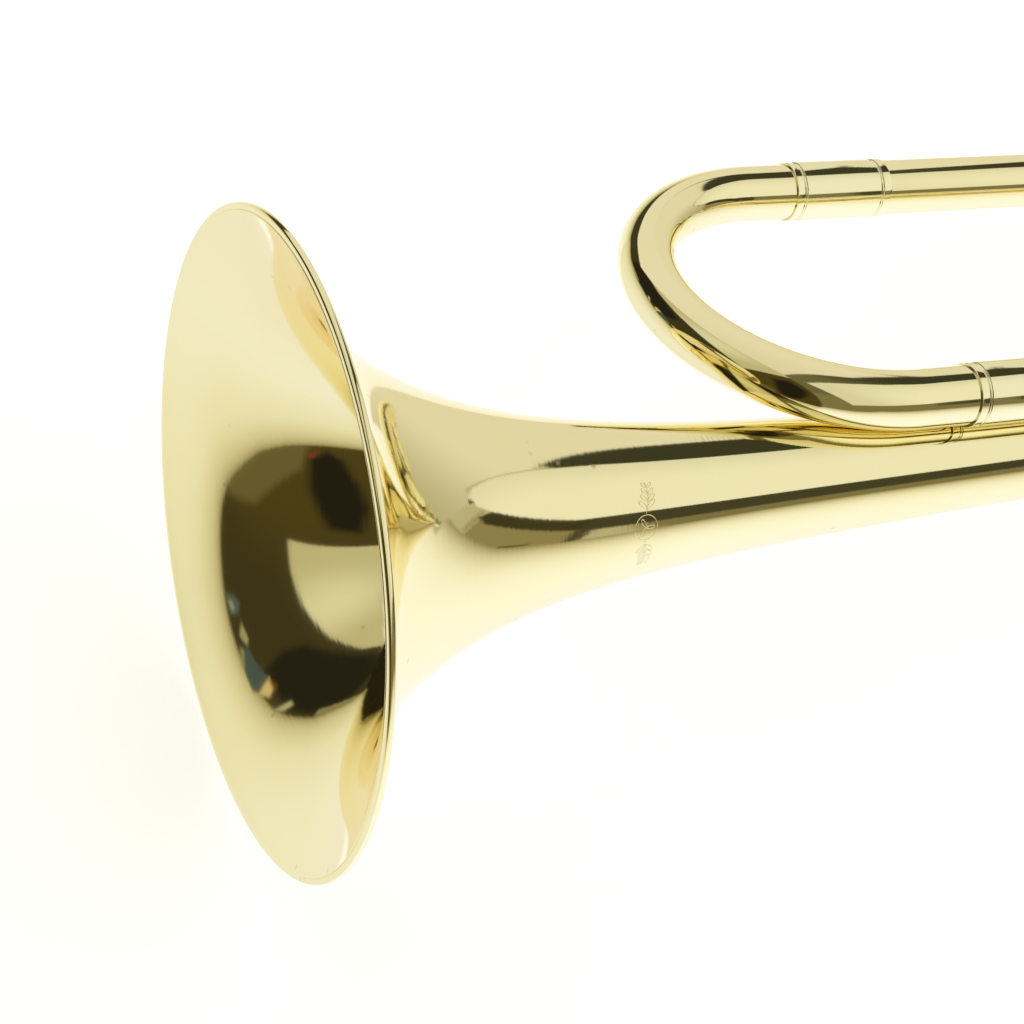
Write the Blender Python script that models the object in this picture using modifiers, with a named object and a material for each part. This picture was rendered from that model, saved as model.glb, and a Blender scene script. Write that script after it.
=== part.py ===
"""Valveless flugelhorn (bugle) with a single wrap, built as separate named pieces.

Horn axes used while building: X runs backwards along the bell axis from the mouth plane,
Y runs from the bell tube to the second yard, Z is the side on which the mouthpipe lies.
An empty then lays the horn on its side as it rests on a table, +Z up. Metres throughout.
"""
import bpy
import bmesh
import math
import numpy as np
from mathutils import Vector, Matrix, Quaternion

MM = 0.001

# ---------------------------------------------------------------- driving dimensions (mm)
BELL_R = 61.0            # outside radius of the bell mouth
BELL_WALL = 0.6
BELL_END = 403.7         # where the bell tail meets the rear bow
BEAD_R = 0.75            # rolled rim bead, radius of its section
BEAD_X = -0.3
TUBE_R = 5.98            # outside radius of the yards and of the front bow
TUBE_WALL = 0.45
TAIL_R = 7.05            # outside radius of the bell tail
FRONT_X = 131.7          # centre of the front bow
FRONT_LEG = 154.0        # where the front bow's legs end inside the ferrules
REAR_X = 420.0           # centre of the rear bow
REAR_LEG = 404.0         # where the rear bow's legs end inside the ferrules
JOINT_GAP = 0.3
PIPE_Y = -1.86           # mouthpipe at FRONT_X
YARD_Y = 74.5            # second yard at FRONT_X
SIDE_Z = 17.81           # side offset of both tubes at FRONT_X
SIDE_SLOPE = 0.0148      # both tubes close in on the bell tube by this much per mm
FALL_SLOPE = 0.0119      # and run down in Y by this much
PIPE_END = 458.0
FERRULE_R = 6.42
FERRULE_WALL = 0.25
FERRULE_X0 = 141.7
FERRULE_L = 24.1
REAR_FERRULE_X0 = 392.0
SLEEVE_X0 = 440.0
SHANK_R = 5.4
SHANK_X0 = 418.0
SHANK_X1 = 479.0
RECEIVER_X0 = 470.0
RECEIVER_X1 = 504.0
MOUTHPIECE_END = 556.0
CLAMP_X = 452.0
BRACE_X = (262.0, 372.0)
SADDLE_X = (200.0, 330.0)
RING_X = (225.0, 305.0)
RING_MAJOR = 7.0
RING_WIRE = 0.9
LUG_HOLE = 1.9

# how the horn lies: turned about its own X, then pitched, then set on the table
ROLL_DEG = -16.484
PITCH_DEG = 6.216
SHIFT = (-274.015, -13.129, 60.594)

BRASS = (0.80, 0.60, 0.26, 1.0)
BRASS_PALE = (0.84, 0.70, 0.40, 1.0)
SILVER = (0.78, 0.77, 0.74, 1.0)


# ---------------------------------------------------------------- clear the scene
for ob in list(bpy.data.objects):
    bpy.data.objects.remove(ob, do_unlink=True)

parts = bpy.data.collections.new("bugle")
cutters = bpy.data.collections.new("cutters")
bpy.context.scene.collection.children.link(parts)
bpy.context.scene.collection.children.link(cutters)
cutters.hide_render = True

pose = bpy.data.objects.new("horn_pose", None)
parts.objects.link(pose)
pose_m = (Matrix.Translation(Vector(SHIFT) * MM)
          @ Matrix.Rotation(math.radians(PITCH_DEG), 4, "Y")
          @ Matrix.Rotation(math.radians(ROLL_DEG), 4, "X"))
pose.matrix_world = pose_m


# ---------------------------------------------------------------- helpers
def material(name, colour, rough, metal):
    m = bpy.data.materials.new(name)
    m.use_nodes = True
    b = m.node_tree.nodes["Principled BSDF"]
    b.inputs["Base Color"].default_value = colour
    b.inputs["Roughness"].default_value = rough
    b.inputs["Metallic"].default_value = metal
    m.diffuse_color = colour
    return m


def side(x):
    """Side offset of the mouthpipe and second yard at station x."""
    return SIDE_Z - SIDE_SLOPE * (x - FRONT_X)


def fall(x):
    return FALL_SLOPE * (x - FRONT_X)


def pipe(x):
    return Vector((x, PIPE_Y - fall(x), side(x)))


def yard(x):
    return Vector((x, YARD_Y - fall(x), side(x)))


LEG_DIR = Vector((1.0, -FALL_SLOPE, -SIDE_SLOPE)).normalized()
BELL_DIR = Vector((1.0, 0.0, 0.0))


def bell_radius(x):
    """Outside radius of the bell: a Bessel-like flare that runs into a slow cone."""
    s = x / BELL_R
    return BELL_R * (0.17375 - 0.00902 * s + 0.19881 * (s + 0.35692) ** -2.07229
                     - 0.85389 * math.exp(-s / 0.14614))


def finish(ob, name, mat, coll=None):
    ob.name = name
    ob.data.name = name
    ob.data.materials.clear()
    ob.data.materials.append(mat)
    ob.parent = pose
    return ob


def frame_matrix(origin_mm, z_dir, x_hint=None):
    z = Vector(z_dir).normalized()
    hint = Vector(x_hint) if x_hint is not None else Vector((0.0, 1.0, 0.0))
    x = (hint - z * hint.dot(z)).normalized()
    y = z.cross(x)
    m = Matrix((x, y, z)).transposed().to_4x4()
    m.translation = Vector(origin_mm) * MM
    return m


def lathe(name, profile, origin, z_dir, steps, mat, smooth=32.0, coll=None):
    """Closed body of revolution about z_dir. profile is a closed loop of (radius, height)
    in mm whose outer side comes first, from the top down; points on the axis close it."""
    me = bpy.data.meshes.new(name)
    solid = profile[0][0] == 0.0
    pts = [(r * MM, 0.0, h * MM) for r, h in profile]
    n = len(pts)
    edges = [(i, i + 1) for i in range(n - 1)]
    if not solid:
        edges.append((n - 1, 0))
    me.from_pydata(pts, edges, [])
    ob = bpy.data.objects.new(name, me)
    (coll or parts).objects.link(ob)
    mod = ob.modifiers.new("turn", "SCREW")
    mod.axis = "Z"
    mod.angle = math.tau
    mod.steps = steps
    mod.render_steps = steps
    mod.use_merge_vertices = True
    mod.merge_threshold = 0.00001
    mod.use_smooth_shade = True
    ob.matrix_local = frame_matrix(origin, z_dir)
    if coll is None:
        finish(ob, name, mat)
    else:
        ob.parent = pose
    return ob


def ring_profile(r_out, r_in, h0, h1, chamfer=0.0):
    c = chamfer
    if c > 0.0:
        return [(r_out - c, h1), (r_out, h1 - c), (r_out, h0 + c), (r_out - c, h0),
                (r_in, h0), (r_in, h1)]
    return [(r_out, h1), (r_out, h0), (r_in, h0), (r_in, h1)]


def swept_tube(name, points, radii, wall, mat, sides=24):
    """Bent tube: a bevelled curve turned into a mesh, then given its wall inwards."""
    cu = bpy.data.curves.new(name + "_path", "CURVE")
    cu.dimensions = "3D"
    sp = cu.splines.new("POLY")
    sp.points.add(len(points) - 1)
    for p, co, r in zip(sp.points, points, radii):
        p.co = (co[0] * MM, co[1] * MM, co[2] * MM, 1.0)
        p.radius = r
    cu.bevel_mode = "ROUND"
    cu.bevel_depth = MM
    cu.bevel_resolution = (sides - 4) // 2
    cu.use_fill_caps = False
    cu.twist_mode = "MINIMUM"
    tmp = bpy.data.objects.new(name + "_tmp", cu)
    parts.objects.link(tmp)
    dg = bpy.context.evaluated_depsgraph_get()
    dg.update()
    me = bpy.data.meshes.new_from_object(tmp.evaluated_get(dg))
    bpy.data.objects.remove(tmp, do_unlink=True)
    bpy.data.curves.remove(cu)
    bm = bmesh.new()
    bm.from_mesh(me)
    bmesh.ops.remove_doubles(bm, verts=bm.verts, dist=1e-6)
    bmesh.ops.recalc_face_normals(bm, faces=bm.faces)
    # outward test on one face against its nearest path point
    bm.faces.ensure_lookup_table()
    fc = bm.faces[0]
    c = fc.calc_center_median()
    near = min((Vector((p[0], p[1], p[2])) * MM for p in points), key=lambda q: (q - c).length)
    if (c - near).dot(fc.normal) < 0.0:
        bmesh.ops.reverse_faces(bm, faces=bm.faces)
    bm.to_mesh(me)
    bm.free()
    me.shade_smooth()
    ob = bpy.data.objects.new(name, me)
    parts.objects.link(ob)
    sol = ob.modifiers.new("wall", "SOLIDIFY")
    sol.thickness = wall * MM
    sol.offset = -1.0
    sol.use_even_offset = True
    return finish(ob, name, mat)


def straight_tube(name, p0, p1, r_out, wall, mat, steps=24, r_end=None):
    """Straight tube from p0 to p1; the origin is on its axis at p0."""
    length = (p1 - p0).length
    r1 = r_out if r_end is None else r_end
    prof = [(r1, length), (r_out, 0.0), (r_out - wall, 0.0), (r1 - wall, length)]
    return lathe(name, prof, p0, p1 - p0, steps, mat)


def torus(name, major, minor, origin, axis, mat, n_major, n_minor):
    prof = [(major + minor * math.cos(a), minor * math.sin(a))
            for a in (math.tau * (0.25 - i / n_minor) for i in range(n_minor))]
    return lathe(name, prof, origin, axis, n_major, mat)


def boolean(ob, cutter, op):
    cutter.display_type = "WIRE"
    cutter.hide_render = True
    mod = ob.modifiers.new("cut_" + cutter.name, "BOOLEAN")
    mod.operation = op
    mod.solver = "EXACT"
    mod.object = cutter
    return mod


def outline_plate(name, loops, thick, origin, z_dir, x_hint, mat, coll=None):
    """Flat plate from closed 2-D outlines (mm), centred on its own plane."""
    cu = bpy.data.curves.new(name + "_outline", "CURVE")
    cu.dimensions = "2D"
    cu.fill_mode = "BOTH"
    cu.extrude = 0.5 * thick * MM
    for loop in loops:
        sp = cu.splines.new("POLY")
        sp.points.add(len(loop) - 1)
        for p, (x, y) in zip(sp.points, loop):
            p.co = (x * MM, y * MM, 0.0, 1.0)
        sp.use_cyclic_u = True
    tmp = bpy.data.objects.new(name + "_tmp", cu)
    parts.objects.link(tmp)
    dg = bpy.context.evaluated_depsgraph_get()
    dg.update()
    me = bpy.data.meshes.new_from_object(tmp.evaluated_get(dg))
    bpy.data.objects.remove(tmp, do_unlink=True)
    bpy.data.curves.remove(cu)
    bm = bmesh.new()
    bm.from_mesh(me)
    bmesh.ops.remove_doubles(bm, verts=bm.verts, dist=1e-6)
    bmesh.ops.recalc_face_normals(bm, faces=bm.faces)
    bm.to_mesh(me)
    bm.free()
    ob = bpy.data.objects.new(name, me)
    (coll or parts).objects.link(ob)
    ob.matrix_local = frame_matrix(origin, z_dir, x_hint)
    if coll is None:
        finish(ob, name, mat)
    else:
        ob.parent = pose
    return ob


brass = material("lacquered_brass", BRASS, 0.12, 1.0)
brass_bell = material("bell_brass", BRASS, 0.10, 1.0)
brass_pale = material("pale_brass", BRASS_PALE, 0.14, 1.0)
silver = material("silver_plate", SILVER, 0.12, 1.0)


# ---------------------------------------------------------------- bell and rim bead
bead_mid = BELL_R - BEAD_R
sheet_start = 0.3
N_BELL = 20
stations = []
while bell_radius(sheet_start) > bead_mid - BEAD_R - 0.3:
    sheet_start += 0.02
for i in range(N_BELL + 1):
    t = i / N_BELL
    stations.append(sheet_start + (BELL_END - sheet_start) * (0.06 * t + 0.94 * t ** 3.1))


def bell_wall_points():
    """Outer and inner wall points, the inner ones offset along the wall's normal."""
    outer, inner = [], []
    for x in stations:
        e = 0.05
        slope = (bell_radius(x + e) - bell_radius(x - e)) / (2 * e)
        nx, nr = slope, -1.0
        ln = math.hypot(nx, nr)
        r = bell_radius(x)
        outer.append((r, x))
        inner.append((r + BELL_WALL * nr / ln, x + BELL_WALL * nx / ln))
    # the tail is cut square
    r_in = outer[-1][0] - BELL_WALL
    inner[-1] = (r_in, BELL_END)
    return outer, inner


b_out, b_in = bell_wall_points()
lathe("bell", list(reversed(b_out)) + b_in, (0, 0, 0), BELL_DIR, 40, brass_bell)
torus("bell_rim_bead", bead_mid, BEAD_R, (BEAD_X, 0, 0), BELL_DIR, brass_bell, 48, 8)


# ---------------------------------------------------------------- front bow and its ferrules
def bow_path(centre, arm, back, legs, n):
    """Half circle round centre from -arm to +arm, bulging along back, with straight legs."""
    pts = [centre - arm + legs[0]]
    for i in range(n + 1):
        a = math.pi * i / n
        pts.append(centre - arm * math.cos(a) + back * math.sin(a))
    pts.append(centre + arm + legs[1])
    return pts


f_centre = Vector((FRONT_X, 0.5 * (PIPE_Y + YARD_Y), side(FRONT_X)))
f_arm = Vector((0.0, 0.5 * (YARD_Y - PIPE_Y), 0.0))
f_leg = LEG_DIR * (FRONT_LEG - FRONT_X)
f_back = (LEG_DIR - f_arm * (LEG_DIR.dot(f_arm) / f_arm.length_squared)).normalized()
f_pts = bow_path(f_centre, f_arm, -f_back * f_arm.length, (f_leg, f_leg), 16)
swept_tube("front_bow", f_pts, [TUBE_R] * len(f_pts), TUBE_WALL, brass)

ferrule_prof = []
fr, fi, fl = FERRULE_R, FERRULE_R - FERRULE_WALL, FERRULE_L
for r, h in ((fr - 0.12, fl), (fr, fl - 0.2), (fr, fl - 2.25), (fr - 0.1, fl - 2.4), (fr, fl - 2.55),
             (fr, 2.3), (fr - 0.1, 2.15), (fr, 2.0), (fr, 0.2), (fr - 0.12, 0.0)):
    ferrule_prof.append((r, h))
ferrule_prof += [(fi, 0.0), (fi, fl)]
lathe("ferrule_front_yard", ferrule_prof, yard(FERRULE_X0), LEG_DIR, 24, brass_pale)
lathe("ferrule_front_pipe", ferrule_prof, pipe(FERRULE_X0), LEG_DIR, 24, brass_pale)

# ---------------------------------------------------------------- straight tubes
straight_tube("second_yard", yard(FRONT_LEG + JOINT_GAP), yard(REAR_LEG - JOINT_GAP),
              TUBE_R, TUBE_WALL, brass)
straight_tube("mouthpipe", pipe(FRONT_LEG + JOINT_GAP), pipe(PIPE_END), TUBE_R, TUBE_WALL, brass)

# ---------------------------------------------------------------- rear bow and its ferrules
r_low = Vector((REAR_X, 0.0, 0.0))
r_high = yard(REAR_X)
r_centre = 0.5 * (r_low + r_high)
r_arm = 0.5 * (r_high - r_low)
r_back = Vector((1.0, 0.0, 0.0)) * r_arm.length
r_legs = (Vector((REAR_LEG - REAR_X, 0.0, 0.0)), LEG_DIR * (REAR_LEG - REAR_X))
N_REAR = 16
r_pts = bow_path(r_centre, r_arm, r_back, r_legs, N_REAR)
r_rad = [TAIL_R] + [TAIL_R + (TUBE_R - TAIL_R) * i / N_REAR for i in range(N_REAR + 1)] + [TUBE_R]
swept_tube("rear_bow", r_pts, r_rad, TUBE_WALL, brass)

lathe("ferrule_rear_yard", ferrule_prof, yard(REAR_FERRULE_X0), LEG_DIR, 24, brass_pale)
tail_grow = TAIL_R - TUBE_R + 0.12
lathe("ferrule_rear_bell", [(r + tail_grow, h) for r, h in ferrule_prof],
      (REAR_FERRULE_X0, 0, 0), BELL_DIR, 24, brass_pale)

# ---------------------------------------------------------------- tuning shank end
sl = PIPE_END - SLEEVE_X0
lathe("mouthpipe_sleeve",
      [(6.6, sl), (6.9, sl - 0.3), (6.9, sl - 1.7), (6.7, sl - 2.0), (6.7, 1.2), (6.55, 0.0),
       (TUBE_R + 0.2, 0.0), (TUBE_R + 0.2, sl)],
      pipe(SLEEVE_X0), LEG_DIR, 24, brass_pale)

shank_len = SHANK_X1 - SHANK_X0
lathe("tuning_shank", ring_profile(SHANK_R, SHANK_R - 0.45, 0.0, shank_len, 0.12),
      pipe(SHANK_X0), LEG_DIR, 24, silver)

rl = RECEIVER_X1 - RECEIVER_X0
lathe("receiver",
      [(7.0, rl), (7.5, rl - 0.6), (7.5, rl - 2.6), (7.0, rl - 3.2), (6.75, rl - 4.0), (6.5, rl - 14.0),
       (6.35, 3.2), (6.75, 2.6), (6.75, 0.6), (6.45, 0.0),
       (5.7, 0.0), (5.7, SHANK_X1 - RECEIVER_X0 + 0.3), (4.95, SHANK_X1 - RECEIVER_X0 + 0.35),
       (5.45, rl)],
      pipe(RECEIVER_X0), LEG_DIR, 24, silver)

# clamp collar: a split ring with two ears, drawn closed by the thumb screw
EAR_OUT = 15.2
EAR_HALF = 3.6
SLIT = 0.5
COLLAR_R, COLLAR_BORE, COLLAR_L = 8.6, 7.1, 7.0


def arc(radius, a0, a1, n):
    return [(radius * math.cos(a0 + (a1 - a0) * i / n), radius * math.sin(a0 + (a1 - a0) * i / n))
            for i in range(n + 1)]


g_in = math.asin(SLIT / COLLAR_BORE)
g_out = math.asin(EAR_HALF / COLLAR_R)
outline = arc(COLLAR_R, g_out, math.tau - g_out, 26)
outline += [(EAR_OUT - 1.2, -EAR_HALF), (EAR_OUT, -EAR_HALF + 1.2), (EAR_OUT, -SLIT)]
outline += list(reversed(arc(COLLAR_BORE, g_in, math.tau - g_in, 24)))
outline += [(EAR_OUT, SLIT), (EAR_OUT, EAR_HALF - 1.2), (EAR_OUT - 1.2, EAR_HALF)]
collar = outline_plate("clamp_collar", [outline], COLLAR_L, pipe(CLAMP_X), LEG_DIR, (0, -1, 0), brass)
SCREW_OFF = 11.6
ear_dir = Vector((0.0, -1.0, 0.0))
ear_dir = (ear_dir - LEG_DIR * ear_dir.dot(LEG_DIR)).normalized()
screw_dir = LEG_DIR.cross(ear_dir).normalized()
screw_mid = pipe(CLAMP_X) + ear_dir * SCREW_OFF
hole = lathe("collar_hole", [(0.0, 8.0), (1.75, 8.0), (1.75, -8.0), (0.0, -8.0)],
             screw_mid, screw_dir, 16, brass, coll=cutters)
boolean(collar, hole, "DIFFERENCE")

# thumb screw: knurled head, neck and threaded shank in one piece, head on the mouthpipe's far side
screw_up = screw_dir if screw_dir.z > 0.0 else -screw_dir
hd = EAR_HALF + 0.3
lathe("clamp_screw",
      [(0.0, hd + 7.2), (3.6, hd + 7.2), (4.4, hd + 6.7), (4.4, hd + 3.1), (3.7, hd + 2.6),
       (2.3, hd + 2.2), (2.3, hd + 0.4), (2.9, hd), (1.45, hd), (1.45, -EAR_HALF - 1.2),
       (1.1, -EAR_HALF - 1.7), (0.0, -EAR_HALF - 1.7)],
      screw_mid, screw_up, 24, brass_pale)

# ---------------------------------------------------------------- mouthpiece
mp0 = RECEIVER_X1 - 21.5
ml = MOUTHPIECE_END - mp0
RIM_R = 13.6
mp_outer = [(12.3, ml), (13.2, ml - 0.35), (RIM_R, ml - 1.4), (RIM_R, ml - 2.8), (13.0, ml - 3.9),
            (12.0, ml - 4.9), (11.7, ml - 7.5), (11.2, ml - 11.5), (10.2, ml - 16.0),
            (8.4, ml - 20.5), (6.3, ml - 24.0), (5.1, ml - 26.5), (5.0, ml - 28.0),
            (5.6, ml - 29.0), (5.0, ml - 30.2), (4.75, ml - 34.0), (5.1, 22.3), (4.62, 0.0)]
mp_inner = [(3.9, 0.0), (2.9, 22.0), (2.1, ml - 27.0), (2.1, ml - 23.0), (3.4, ml - 19.0),
            (5.4, ml - 14.0), (7.1, ml - 8.0), (8.1, ml - 3.2), (8.5, ml - 1.0), (9.4, ml - 0.15)]
lathe("mouthpiece", mp_outer + mp_inner, pipe(mp0), LEG_DIR, 24, silver)


# ---------------------------------------------------------------- braces between yard and bell
def oval(a, b, n, point=0.72):
    """Long pointed oval: a half length along x, b half width."""
    out = []
    for i in range(n):
        t = math.tau * i / n
        c, s = math.cos(t), math.sin(t)
        out.append((a * c, b * math.copysign(abs(s) ** (1.0 / point), s)))
    return out


def flange(name, centre, tube_dir, out_dir, r_tube, half_l, half_w):
    """Thin saddle plate that follows the tube's surface."""
    r0, r1 = r_tube + 0.15, r_tube + 0.95
    shell = lathe(name, [(r1, half_l + 2.0), (r1, -half_l - 2.0), (r0, -half_l - 2.0), (r0, half_l + 2.0)],
                  centre, tube_dir, 32, brass_pale)
    cut = outline_plate(name + "_outline", [oval(half_l, half_w, 20)], 8.0,
                        Vector(centre) + out_dir * (r_tube + 0.5), out_dir, tube_dir, brass, coll=cutters)
    boolean(shell, cut, "INTERSECT")
    return r1


for tag, bx in zip(("front", "rear"), BRACE_X):
    low = Vector((bx, 0.0, 0.0))
    high = yard(bx)
    d = (high - low)
    gap = d.length
    d.normalize()
    rb = bell_radius(bx)
    r1 = flange("brace_%s_bell_flange" % tag, low, BELL_DIR, d, rb, 8.5, 4.0)
    r2 = flange("brace_%s_yard_flange" % tag, high, LEG_DIR, -d, TUBE_R, 8.0, 3.4)
    h0, h1 = r1 + 0.3, gap - r2 - 0.3
    mid = 0.5 * (h0 + h1)
    lathe("brace_%s_post" % tag,
          [(0.0, h1), (3.0, h1), (3.0, h1 - 0.7), (1.9, h1 - 1.6), (1.55, h1 - 4.0), (1.55, mid + 4.0),
           (2.0, mid + 2.9), (2.0, mid + 2.2), (2.75, mid + 1.2), (2.95, mid), (2.75, mid - 1.2),
           (2.0, mid - 2.2), (2.0, mid - 2.9), (1.55, mid - 4.0),
           (1.55, h0 + 4.0), (1.9, h0 + 1.6), (3.0, h0 + 0.7), (3.0, h0), (0.0, h0)],
          low, d, 16, brass_pale)

# ---------------------------------------------------------------- saddles between mouthpipe and bell
for tag, sx in zip(("front", "rear"), SADDLE_X):
    axis_gap = pipe(sx) - Vector((sx, 0.0, 0.0))
    out_dir = axis_gap.normalized()
    lo = bell_radius(sx - 6.5)
    hi = (pipe(sx + 6.5) - Vector((sx + 6.5, 0.0, 0.0))).length - TUBE_R
    th = hi - lo - 0.5
    outline_plate("mouthpipe_saddle_%s" % tag, [oval(6.5, 2.6, 20, 0.8)], th,
                  Vector((sx, 0.0, 0.0)) + out_dir * (lo + 0.25 + 0.5 * th), out_dir, (1, 0, 0), brass_pale)

# ---------------------------------------------------------------- lanyard lugs and rings
down_h = (pose_m.to_3x3().inverted() @ Vector((0.0, 0.0, -1.0)))
for tag, lx in zip(("front", "rear"), RING_X):
    base = TUBE_R + 0.3
    top = base + 1.3 + LUG_HOLE
    origin = yard(lx)
    lug_out = [(base, -3.6), (base + 0.7, -3.6)]
    lug_r = LUG_HOLE + 1.2
    lug_out += [(top + lug_r * math.cos(t), lug_r * math.sin(t))
                for t in (math.radians(-100 + 200 * i / 12) for i in range(13))]
    lug_out += [(base + 0.7, 3.6), (base, 3.6)]
    lug_hole = [(top + LUG_HOLE * math.cos(-math.tau * i / 16), LUG_HOLE * math.sin(-math.tau * i / 16))
                for i in range(16)]
    outline_plate("lanyard_lug_%s" % tag, [lug_out, lug_hole], 1.8, origin, LEG_DIR, (0, 1, 0), brass_pale)
    # the ring hangs from the hole; its origin is on the swing axis
    lug_dir = Vector((0.0, 1.0, 0.0))
    lug_dir = (lug_dir - LEG_DIR * lug_dir.dot(LEG_DIR)).normalized()
    hinge = origin + lug_dir * top
    hang = (down_h - LEG_DIR * down_h.dot(LEG_DIR)).normalized()
    n_minor = 8
    prof = [(RING_MAJOR + RING_WIRE * math.cos(a), RING_WIRE * math.sin(a))
            for a in (math.tau * (0.25 - i / n_minor) for i in range(n_minor))]
    ring_axis = LEG_DIR.cross(hang).normalized()
    rg = lathe("lanyard_ring_%s" % tag, prof, hinge + hang * RING_MAJOR, ring_axis, 24, brass)
    hook = bpy.data.objects.new("swing_%s" % tag, None)
    parts.objects.link(hook)
    hook.parent = pose
    hook.matrix_local = Matrix.Translation(hinge * MM)
    rg.parent = hook
    rg.matrix_local = frame_matrix(hang * RING_MAJOR, ring_axis)
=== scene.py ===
"""Looks of the valveless flugelhorn: fine surfaces, materials, studio and camera."""
import bpy
import math
import numpy as np
from mathutils import Vector, Matrix


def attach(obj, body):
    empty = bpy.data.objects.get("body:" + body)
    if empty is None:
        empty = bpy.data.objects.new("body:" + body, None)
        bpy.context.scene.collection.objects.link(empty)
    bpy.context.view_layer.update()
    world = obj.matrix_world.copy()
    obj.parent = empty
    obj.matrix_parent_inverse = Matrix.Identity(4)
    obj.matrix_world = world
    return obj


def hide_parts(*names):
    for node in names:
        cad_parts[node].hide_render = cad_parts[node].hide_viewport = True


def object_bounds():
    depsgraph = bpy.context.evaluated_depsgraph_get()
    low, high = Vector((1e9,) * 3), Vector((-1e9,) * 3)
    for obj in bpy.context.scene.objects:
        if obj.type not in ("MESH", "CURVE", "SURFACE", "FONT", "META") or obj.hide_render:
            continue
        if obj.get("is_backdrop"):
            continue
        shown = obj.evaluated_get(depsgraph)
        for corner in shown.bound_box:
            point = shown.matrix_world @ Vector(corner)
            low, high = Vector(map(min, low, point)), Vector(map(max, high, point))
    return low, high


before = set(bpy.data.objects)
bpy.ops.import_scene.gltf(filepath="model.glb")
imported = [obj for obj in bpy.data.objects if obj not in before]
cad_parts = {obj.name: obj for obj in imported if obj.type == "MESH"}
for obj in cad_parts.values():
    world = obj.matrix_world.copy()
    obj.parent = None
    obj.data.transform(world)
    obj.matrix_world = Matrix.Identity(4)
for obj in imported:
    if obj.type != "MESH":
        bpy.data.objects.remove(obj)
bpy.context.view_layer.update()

MM = 0.001
TAU = math.tau

# ------------------------------------------------------------------ the horn's dimensions (mm), as in the CAD
BELL_R, BELL_WALL, BELL_END = 61.0, 0.6, 403.7
BEAD_R, BEAD_X = 0.75, -0.3
TUBE_R, TUBE_WALL, TAIL_R = 5.98, 0.45, 7.05
FRONT_X, FRONT_LEG, REAR_X, REAR_LEG = 131.7, 154.0, 420.0, 404.0
JOINT_GAP = 0.3
PIPE_Y, YARD_Y, SIDE_Z = -1.86, 74.5, 17.81
SIDE_SLOPE, FALL_SLOPE = 0.0148, 0.0119
PIPE_END = 458.0
FERRULE_R, FERRULE_X0, FERRULE_L, REAR_FERRULE_X0 = 6.42, 141.7, 24.1, 392.0
SLEEVE_X0 = 440.0
SHANK_R, SHANK_X0, SHANK_X1 = 5.4, 418.0, 479.0
RECEIVER_X0, RECEIVER_X1, MOUTHPIECE_END = 470.0, 504.0, 556.0
CLAMP_X = 452.0
BRACE_X, SADDLE_X, RING_X = (262.0, 372.0), (200.0, 330.0), (225.0, 305.0)
RING_MAJOR, RING_WIRE, LUG_HOLE = 7.0, 0.9, 1.9
ROLL_DEG, PITCH_DEG = -16.484, 6.216
SHIFT = (-274.015, -13.129, 60.594)

POSE = (Matrix.Translation(Vector(SHIFT) * MM)
        @ Matrix.Rotation(math.radians(PITCH_DEG), 4, "Y")
        @ Matrix.Rotation(math.radians(ROLL_DEG), 4, "X"))
POSE_R = POSE.to_3x3()

LEG_DIR = Vector((1.0, -FALL_SLOPE, -SIDE_SLOPE)).normalized()
BELL_DIR = Vector((1.0, 0.0, 0.0))


def side(x):
    return SIDE_Z - SIDE_SLOPE * (x - FRONT_X)


def fall(x):
    return FALL_SLOPE * (x - FRONT_X)


def pipe(x):
    return Vector((x, PIPE_Y - fall(x), side(x)))


def yard(x):
    return Vector((x, YARD_Y - fall(x), side(x)))


def bell_radius(x):
    s = x / BELL_R
    return BELL_R * (0.17375 - 0.00902 * s + 0.19881 * (s + 0.35692) ** -2.07229
                     - 0.85389 * math.exp(-s / 0.14614))


# ------------------------------------------------------------------ mesh helpers
scene = bpy.context.scene
made = {}


def frame_matrix(origin_mm, z_dir, x_hint=None):
    z = Vector(z_dir).normalized()
    hint = Vector(x_hint) if x_hint is not None else Vector((0.0, 1.0, 0.0))
    x = (hint - z * hint.dot(z)).normalized()
    y = z.cross(x)
    m = Matrix((x, y, z)).transposed().to_4x4()
    m.translation = Vector(origin_mm) * MM
    return m


def new_piece(name, verts_mm, faces, local, mat, body, replaces, sharp=40.0, turn=None):
    """One visible piece: points in the frame of the whole model, plus the workshop coordinates of each point."""
    me = bpy.data.meshes.new(name)
    v = np.asarray(verts_mm, dtype=np.float64) * MM
    full = np.array(POSE @ local)
    me.from_pydata((v @ full[:3, :3].T + full[:3, 3]).tolist(), [], faces)
    me.update()
    me.shade_smooth()
    if sharp is not None:
        me.set_sharp_from_angle(angle=math.radians(sharp))
    at = me.attributes.new("turn", "FLOAT_VECTOR", "POINT")
    at.data.foreach_set("vector", (v if turn is None else np.asarray(turn) * MM).astype(np.float32).ravel())
    me.materials.append(mat)
    ob = bpy.data.objects.new(name, me)
    scene.collection.objects.link(ob)
    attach(ob, body)
    if replaces:
        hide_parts(*replaces)
    made[name] = ob
    return ob


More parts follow.
